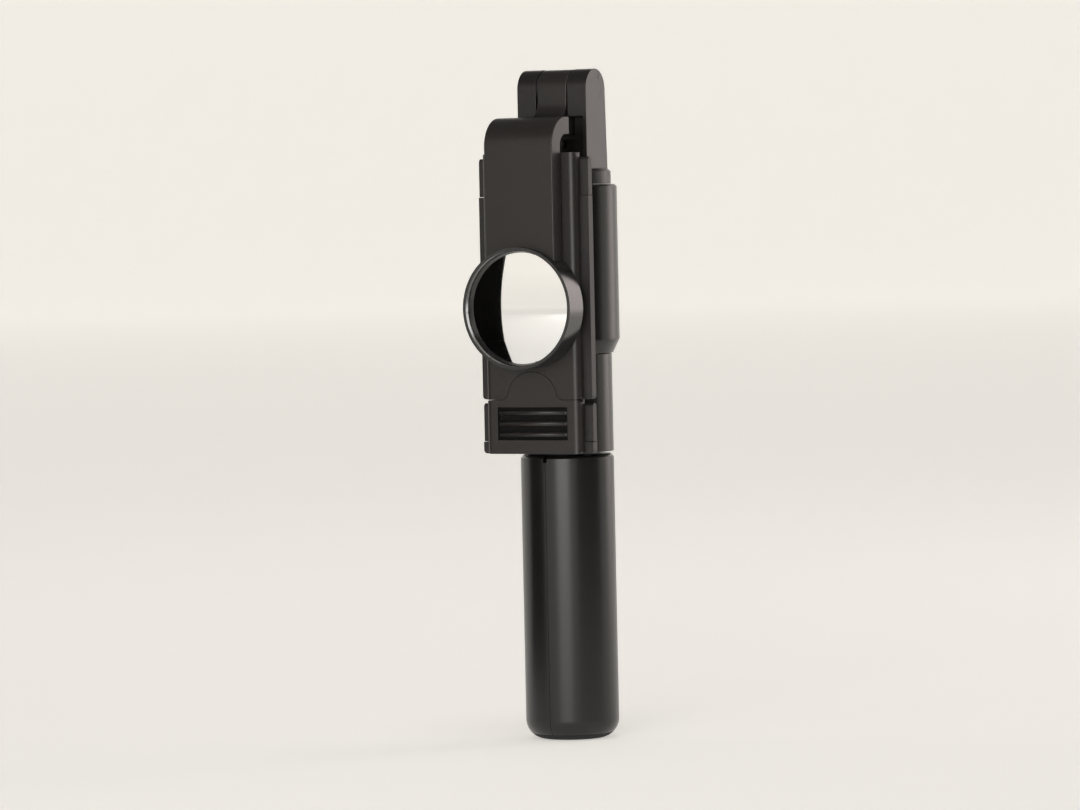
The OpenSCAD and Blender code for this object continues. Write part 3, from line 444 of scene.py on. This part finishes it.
def board_finish():
    """Green solder mask with pale copper lands in a square grid."""
    material, nodes, shader = start_material("circuit_board")
    place = nodes.add("ShaderNodeTexCoord").outputs["Object"]
    tracks = nodes.add("ShaderNodeTexBrick", {"Vector": place, "Scale": 300.0,
                                              "Color1": (0.01, 0.1, 0.04, 1),
                                              "Color2": (0.015, 0.14, 0.05, 1),
                                              "Mortar": (0.3, 0.22, 0.08, 1),
                                              "Mortar Size": 0.03})
    mark_node = group_node(nodes, marks, {"Base": tracks.outputs["Color"], "Roughness": 0.35,
                                          "Smear": 0.1, "Dust": 0.1})
    nodes.tree.links.new(mark_node.outputs["Color"], shader.inputs["Base Color"])
    nodes.tree.links.new(mark_node.outputs["Roughness"], shader.inputs["Roughness"])
    return material


def lamp_finish():
    """A milky pale blue lens with a clear coat."""
    material, nodes, shader = start_material("lamp_lens")
    mark_node = group_node(nodes, marks, {"Base": (0.62, 0.7, 0.92, 1), "Roughness": 0.22,
                                          "Smear": 0.15, "Dust": 0.05})
    nodes.tree.links.new(mark_node.outputs["Color"], shader.inputs["Base Color"])
    nodes.tree.links.new(mark_node.outputs["Roughness"], shader.inputs["Roughness"])
    shader.inputs["Coat Weight"].default_value = 0.5
    return material


MIRROR = mirror_finish()
BOARD = board_finish()
LAMP = lamp_finish()

FINISH = {"handle_plastic": HANDLE, "clamp_plastic": CHARCOAL, "bezel_plastic": GLOSSY,
          "black_rubber": RUBBER, "tube_metal": STEEL_TUBE, "fastener_steel": FASTENER,
          "brass": BRASS, "guide_nylon": NYLON, "mirror_glass": MIRROR,
          "circuit_board": BOARD, "lamp_lens": LAMP}
SPECIAL = {"head_fork": HEAD, "neck_cap": HEAD, "tilt_caps": HEAD, "clamp_back": CLAMP_BACK_SHADED,
           "jaw_back": CLAMP_BACK_SHADED, "upper_fingers": CLAMP_BACK_SHADED, "lower_fingers": CLAMP_BACK_SHADED,
           "leg_hub": INNER, "tube_holder": INNER, "tube_plug": INNER, "jaw_slider": INNER,
           "tilt_washers": INNER, "friction_disc": INNER, "upper_rod": BLACKENED,
           "lower_rod": BLACKENED, "head_screw": BLACKENED, "tilt_bolt": BLACKENED,
           "tilt_nut": BLACKENED}
for node, piece in frame["nodes"].items():
    finish = SPECIAL.get(node, FINISH[SLOT_OF[node]])
    piece.data.materials.clear()
    piece.data.materials.append(finish)
used = {piece.data.materials[0].name for piece in frame["nodes"].values()}
print("finishes on the CAD nodes:", len(used))


# %% [markdown]
# ## Rounded edges
# A moulded part never has a razor edge. A copy of each outer part is welded, its flat faces are
# joined up, and a Bevel modifier rounds every sharp edge outside the zones that must stay crisp.
# The new narrow faces are marked in an "edge" attribute, which the edge wear and highlight group
# reads.


# %% Rounded copies
WELD = 3e-6  # vertices closer than this, in metres, are one
FLAT_DEG = 0.4  # faces that meet at less than this are one face


def link(piece):
    bpy.context.scene.collection.objects.link(piece)
    return piece


def settle(piece):
    """Turns a piece with modifiers into a plain mesh at the origin."""
    graph = bpy.context.evaluated_depsgraph_get()
    mesh = bpy.data.meshes.new_from_object(piece.evaluated_get(graph))
    name = piece.name
    bpy.data.objects.remove(piece)
    mesh.name = name
    return link(bpy.data.objects.new(name, mesh))


def hand_over(piece, node, stands_for=()):
    """Puts a finished piece on the node's body and gives it the node's finish."""
    if not piece.data.materials:
        piece.data.materials.append(frame["nodes"][node].data.materials[0])
    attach(piece, BODY_OF[node])
    if stands_for:
        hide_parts(*stands_for)
    return piece


def mark_edges(mesh):
    """Moves the bevel's material index into an attribute that the edge wear and highlight group
    reads.
    """
    edge = mesh.attributes.new("edge", "FLOAT", "FACE")
    for face in mesh.polygons:
        edge.data[face.index].value = float(face.material_index == 1)
        face.material_index = 0
    while len(mesh.materials) > 1:
        mesh.materials.pop()


def rounded(node, width_mm, segments=3, sharp=32, crisp=None):
    """A copy of a CAD node with rounded edges; crisp(point) keeps an edge sharp."""
    mesh = frame["nodes"][node].data.copy()
    work = bmesh.new()
    work.from_mesh(mesh)
    bmesh.ops.remove_doubles(work, verts=work.verts, dist=WELD)
    bmesh.ops.dissolve_limit(work, angle_limit=math.radians(FLAT_DEG), verts=work.verts,
                             edges=work.edges)
    weight = work.edges.layers.float.new("bevel_weight_edge")
    for line in work.edges:
        middle = (line.verts[0].co + line.verts[1].co) / 2
        if line.calc_face_angle(0) > math.radians(sharp) and not (crisp and crisp(middle)):
            line[weight] = 1.0
    work.to_mesh(mesh)
    work.free()
    mesh.shade_smooth()
    mesh.materials.append(mesh.materials[0])
    piece = link(bpy.data.objects.new(node + "_rounded", mesh))
    bevel = piece.modifiers.new("edges", "BEVEL")
    bevel.width = width_mm * MM
    bevel.segments = segments
    bevel.limit_method = "WEIGHT"
    bevel.material = 1
    bevel.miter_outer = "MITER_ARC"
    bevel.use_clamp_overlap = True
    normals = piece.modifiers.new("normals", "WEIGHTED_NORMAL")
    normals.keep_sharp = True
    piece = settle(piece)
    mark_edges(piece.data)
    return hand_over(piece, node, [node])


def near_axis(node, radius_mm):
    """True for points close to the X axis line through the middle of a round node."""
    low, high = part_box(node)
    middle = (low + high) / 2
    return lambda p: math.hypot(p.y - middle.y, p.z - middle.z) < radius_mm * MM


ROUND_MM = {
    "arm": 0.3, "head_fork": 0.3, "neck_cap": 0.12, "collar_shell": 0.15, "grip_sleeve": 0.12,
    "leg_rear": 0.06, "leg_front_right": 0.06, "leg_front_left": 0.06,
    "clamp_cover": 0.2, "clamp_back": 0.12, "jaw_grip": 0.2, "jaw_back": 0.12,
    "mirror_bezel": 0.3, "upper_fingers": 0.1, "lower_fingers": 0.1, "shutter_case": 0.4,
    "shutter_back": 0.2, "shutter_button": 0.4, "tilt_caps": 0.04, "mirror": 0.2,
    "foot_rear": 0.06, "foot_front_right": 0.06, "foot_front_left": 0.06,
}
CRISP = {"head_fork": near_axis("tilt_caps", 4.6)}
pieces = {node: rounded(node, width, crisp=CRISP.get(node)) for node, width in ROUND_MM.items()}
print("rounded:", {node: len(p.data.polygons) for node, p in pieces.items()})

# %% [markdown]
# ## Repeated small features
# Ridges, studs, screw heads and spring coils repeat, so each kind is grown by a Geometry Nodes
# tree with named inputs. The result is turned into a plain mesh; all but the spring coils ride on
# their body.


# %% Geometry tree helpers
class Growth(Nodes):
    """A geometry tree that ends in Realize Instances and Set Material."""

    KINDS = {"INT": "NodeSocketInt", "FLOAT": "NodeSocketFloat", "VECTOR": "NodeSocketVector"}

    def __init__(self, name, inputs):
        tree = bpy.data.node_groups.new(name, "GeometryNodeTree")
        super().__init__(tree)
        tree.interface.new_socket("Geometry", in_out="INPUT", socket_type="NodeSocketGeometry")
        for label, (kind, value) in inputs.items():
            socket = tree.interface.new_socket(label, in_out="INPUT",
                                               socket_type=self.KINDS[kind])
            socket.default_value = value
        tree.interface.new_socket("Material", in_out="INPUT", socket_type="NodeSocketMaterial")
        tree.interface.new_socket("Geometry", in_out="OUTPUT", socket_type="NodeSocketGeometry")
        self.entry = self.add("NodeGroupInput").outputs
        self.leave = self.add("NodeGroupOutput")

    def vector(self, x=0.0, y=0.0, z=0.0):
        return self.add("ShaderNodeCombineXYZ", {"X": x, "Y": y, "Z": z}).outputs[0]

    def join(self, *parts):
        node = self.add("GeometryNodeJoinGeometry")
        for part in parts:
            self.tree.links.new(part, node.inputs[0])
        return node.outputs[0]

    def place(self, points, shape):
        return self.add("GeometryNodeInstanceOnPoints",
                        {"Points": points, "Instance": shape}).outputs[0]

    def end(self, shape, smooth=True):
        real = self.add("GeometryNodeRealizeInstances", {"Geometry": shape}).outputs[0]
        soft = self.add("GeometryNodeSetShadeSmooth", {"Geometry": real, "Shade Smooth": smooth})
        done = self.add("GeometryNodeSetMaterial", {"Geometry": soft.outputs[0],
                                                    "Material": self.entry["Material"]})
        self.tree.links.new(done.outputs[0], self.leave.inputs[0])
        return self.tree


def grow(name, tree, material, values, move=None, base=None):
    """Runs a tree once and returns its plain mesh, moved to its place."""
    piece = link(bpy.data.objects.new(name, base or bpy.data.meshes.new(name)))
    modifier = piece.modifiers.new("growth", "NODES")
    modifier.node_group = tree
    identifiers = {item.name: item.identifier for item in tree.interface.items_tree
                   if item.in_out == "INPUT"}
    for label, value in {**values, "Material": material}.items():
        modifier[identifiers[label]] = value
    piece = settle(piece)
    if move is not None:
        piece.data.transform(move)
    return piece


def shift(x, y, z):
    return Matrix.Translation((x, y, z))


# %% A row of half-round bars, along X, stacked along Z
g = Growth("bar_row", {"Count": ("INT", 3), "Pitch": ("FLOAT", 0.003), "Length": ("FLOAT", 0.02),
                       "Height": ("FLOAT", 0.0008), "Depth": ("FLOAT", 0.0008)})
rod = g.add("GeometryNodeMeshCylinder", {"Vertices": 24, "Radius": 1.0,
                                         "Depth": g.entry["Length"]})
rod = g.add("GeometryNodeTransform", {"Geometry": rod.outputs["Mesh"],
                                      "Rotation": (0, math.pi / 2, 0)}).outputs[0]
tip = g.add("GeometryNodeMeshUVSphere", {"Segments": 24, "Rings": 12, "Radius": 1.0})
half = g.math("MULTIPLY", g.entry["Length"], 0.5)
thin = g.vector(x=g.entry["Height"], y=1.0, z=1.0)
ends = []
for side in (1.0, -1.0):
    flat = g.add("GeometryNodeTransform", {"Geometry": tip.outputs["Mesh"], "Scale": thin})
    spot = g.vector(x=g.math("MULTIPLY", half, side))
    ends.append(g.add("GeometryNodeTransform", {"Geometry": flat.outputs[0],
                                                "Translation": spot}).outputs[0])
squeeze = g.vector(x=1.0, y=g.entry["Depth"], z=g.entry["Height"])
bar = g.add("GeometryNodeTransform", {"Geometry": g.join(rod, *ends), "Scale": squeeze})
row = g.add("GeometryNodeMeshLine", {"Count": g.entry["Count"],
                                     "Offset": g.vector(z=g.entry["Pitch"])})
BAR_ROW = g.end(g.place(row.outputs[0], bar.outputs[0]))

# %% A grid of low round studs that face +Y
g = Growth("stud_grid", {"Width": ("FLOAT", 0.02), "Height": ("FLOAT", 0.04),
                         "Across": ("INT", 8), "Up": ("INT", 16), "Stud Radius": ("FLOAT", 0.0006),
                         "Proud": ("FLOAT", 0.0003)})
grid = g.add("GeometryNodeMeshGrid", {"Size X": g.entry["Width"], "Size Y": g.entry["Height"],
                                      "Vertices X": g.entry["Across"],
                                      "Vertices Y": g.entry["Up"]})
upright = g.add("GeometryNodeTransform", {"Geometry": grid.outputs["Mesh"],
                                          "Rotation": (math.pi / 2, 0, 0)})
dome = g.add("GeometryNodeMeshUVSphere", {"Segments": 12, "Rings": 8, "Radius": 1.0})
dome = g.add("GeometryNodeTransform", {
    "Geometry": dome.outputs["Mesh"],
    "Scale": g.vector(g.entry["Stud Radius"], g.entry["Proud"], g.entry["Stud Radius"])})
STUD_GRID = g.end(g.place(upright.outputs[0], dome.outputs[0]))

# %% Features round a circle in the XZ plane
g = Growth("dot_ring", {"Count": ("INT", 16), "Ring Radius": ("FLOAT", 0.005),
                        "Dot Radius": ("FLOAT", 0.0003)})
circle = g.add("GeometryNodeMeshCircle", {"Vertices": g.entry["Count"],
                                          "Radius": g.entry["Ring Radius"]})
upright = g.add("GeometryNodeTransform", {"Geometry": circle.outputs["Mesh"],
                                          "Rotation": (math.pi / 2, 0, 0)})
dot = g.add("GeometryNodeMeshUVSphere", {"Segments": 12, "Rings": 8,
                                         "Radius": g.entry["Dot Radius"]})
DOT_RING = g.end(g.place(upright.outputs[0], dot.outputs["Mesh"]))

# %% A close-wound coil along +Z
g = Growth("coil", {"Coil Radius": ("FLOAT", 0.0011), "Wire Radius": ("FLOAT", 0.0002),
                    "Height": ("FLOAT", 0.05), "Turns": ("FLOAT", 60.0)})
spiral = g.add("GeometryNodeCurveSpiral", {"Resolution": 20, "Rotations": g.entry["Turns"],
                                           "Start Radius": g.entry["Coil Radius"],
                                           "End Radius": g.entry["Coil Radius"],
                                           "Height": g.entry["Height"]})
wire = g.add("GeometryNodeCurvePrimitiveCircle", {"Resolution": 8,
                                                  "Radius": g.entry["Wire Radius"]})
tube = g.add("GeometryNodeCurveToMesh", {"Curve": spiral.outputs[0],
                                         "Profile Curve": wire.outputs[0], "Fill Caps": True})
COIL = g.end(tube.outputs[0])

# %% A round screw head with a cross recess, seen from +Y, at every point of the base mesh
g = Growth("cross_head", {"Head Radius": ("FLOAT", 0.0016), "Head Height": ("FLOAT", 0.0006),
                          "Slot Width": ("FLOAT", 0.0004)})
disc = g.add("GeometryNodeMeshCylinder", {"Vertices": 48, "Radius": g.entry["Head Radius"],
                                          "Depth": g.entry["Head Height"]}).outputs["Mesh"]
reach = g.math("MULTIPLY", g.entry["Head Radius"], 1.25)
deep = g.math("MULTIPLY", g.entry["Head Height"], 1.1)
cuts = [g.add("GeometryNodeMeshCube", {"Size": g.vector(a, b, deep)}).outputs["Mesh"]
        for a, b in ((reach, g.entry["Slot Width"]), (g.entry["Slot Width"], reach))]
lift = g.vector(z=g.math("MULTIPLY", g.entry["Head Height"], 0.45))
cut = g.add("GeometryNodeTransform", {"Geometry": g.join(*cuts), "Translation": lift})
head = g.add("GeometryNodeMeshBoolean", operation="DIFFERENCE")
g.tree.links.new(disc, head.inputs["Mesh 1"])
g.tree.links.new(cut.outputs[0], head.inputs["Mesh 2"])
facing = g.add("GeometryNodeTransform", {"Geometry": head.outputs[0],
                                         "Rotation": (-math.pi / 2, 0, 0)})
CROSS_HEAD = g.end(g.place(g.entry["Geometry"], facing.outputs[0]), smooth=False)
print("trees:", [t.name for t in (BAR_ROW, STUD_GRID, DOT_RING, COIL, CROSS_HEAD)])

# %% [markdown]
# Each tree is now used where the stick needs it. Sizes come from the boxes of the CAD nodes, so
# the details stay with their parts.

# %% Ridges in the jaw's thumb window
grip_low, grip_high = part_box("jaw_grip")
WINDOW_W, WINDOW_H, WINDOW_Z = 21.9 * MM, 9.1 * MM, 3.8 * MM
WINDOW_DEPTH = 0.9 * MM
RIDGES = 3
RIDGE_INSET = 0.8 * MM
window_z = grip_low.z + WINDOW_Z
pitch = WINDOW_H / RIDGES
ridges = grow("thumb_ridges", BAR_ROW, CHARCOAL, {
    "Count": RIDGES, "Pitch": pitch, "Length": WINDOW_W - 2 * RIDGE_INSET, "Height": 0.78 * MM,
    "Depth": 0.82 * MM}, shift(0, grip_low.y + WINDOW_DEPTH, window_z + pitch / 2))
hand_over(ridges, "jaw_grip")

# %% A near-black sheet just proud of the CAD's floor of the thumb window: painted shade for the recess
SHEET_LIFT, SHEET_T, SHEET_PLAY = 0.04 * MM, 0.03 * MM, 0.02 * MM
floor_y = grip_low.y + WINDOW_DEPTH - SHEET_LIFT
side_x = WINDOW_W / 2 - SHEET_PLAY
corners = [(x, y, z) for y in (floor_y, floor_y + SHEET_T)
           for z in (window_z + SHEET_PLAY, window_z + WINDOW_H - SHEET_PLAY)
           for x in (-side_x, side_x)]
# this sheet is painted shade, not a part of the stick
sheet = bpy.data.meshes.new("window_shade_sheet")
sheet.from_pydata(corners, [], [(0, 1, 3, 2), (4, 6, 7, 5), (0, 4, 5, 1), (2, 3, 7, 6),
                                (0, 2, 6, 4), (1, 5, 7, 3)])
sheet.materials.append(WINDOW_SHADE)
hand_over(link(bpy.data.objects.new("window_shade_sheet", sheet)), "jaw_grip")

# %% Spring coils between the clamp's back plate and the jaw's slider
low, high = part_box("jaw_springs")
WIRE_R = 0.2 * MM
COIL_TURNS = 68.0
outer = (high.y - low.y) / 2
for side in (-1, 1):
    coil = grow("spring_left" if side < 0 else "spring_right", COIL, SPRING_WIRE, {
        "Coil Radius": outer - WIRE_R, "Wire Radius": WIRE_R, "Height": high.z - low.z,
        "Turns": COIL_TURNS}, shift(side * (high.x - outer), (low.y + high.y) / 2, low.z))
    if side < 0:
        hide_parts("jaw_springs")
    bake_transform(coil)

# %% Screw heads on the clamp's back
low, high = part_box("clamp_screws")
HEAD_R = 1.6 * MM
HEAD_SINK = 0.3 * MM
upper_x = high.x - HEAD_R
head_y = high.y - HEAD_SINK
spots = bpy.data.meshes.new("cover_screw_spots")
spots.from_pydata([(-upper_x, head_y, high.z - HEAD_R), (upper_x, head_y, high.z - HEAD_R),
                   (0, head_y, low.z + HEAD_R)], [], [])
heads = grow("cover_screw_heads", CROSS_HEAD, FASTENER, {"Head Radius": HEAD_R}, base=spots)
hand_over(heads, "clamp_screws", ["clamp_screws"])

# %% Studs on the phone pad
low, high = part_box("phone_pad")
STUD_MARGIN = 1.2 * MM
studs = grow("phone_pad_studs", STUD_GRID, RUBBER, {
    "Width": high.x - low.x - 2 * STUD_MARGIN, "Height": high.z - low.z - 2 * STUD_MARGIN,
    "Across": 12, "Up": 20, "Stud Radius": 0.6 * MM, "Proud": 0.28 * MM},
    shift((low.x + high.x) / 2, high.y, (low.z + high.z) / 2))
hand_over(studs, "phone_pad")

# %% Dots round the shutter button, and grip ridges at the lower end of its case
low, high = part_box("shutter_button")
dots = grow("button_dots", DOT_RING, HANDLE, {
    "Count": 20, "Ring Radius": (high.x - low.x) / 2 - 0.9 * MM, "Dot Radius": 0.22 * MM},
    shift(0, high.y - 0.03 * MM, (low.z + high.z) / 2))
hand_over(dots, "shutter_button")
case_low, case_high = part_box("shutter_case")
grips = grow("case_grips", BAR_ROW, HANDLE, {
    "Count": 4, "Pitch": 1.6 * MM, "Length": 9 * MM, "Height": 0.4 * MM, "Depth": 0.45 * MM},
    shift(0, case_high.y - 0.45 * MM, case_low.z + 3.2 * MM))
hand_over(grips, "shutter_case")

# %% Rubber tips on the phone fingers
for node in ("upper_fingers", "lower_fingers"):
    low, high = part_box(node)
    for side, x in (("left", low.x + 1.7 * MM), ("right", high.x - 1.7 * MM)):
        tips = grow(f"{node}_{side}_tip", BAR_ROW, RUBBER, {
            "Count": 4, "Pitch": 1.5 * MM, "Length": 2.2 * MM, "Height": 0.4 * MM,
            "Depth": 0.22 * MM}, shift(x, high.y, low.z + 1.2 * MM))
        hand_over(tips, node)
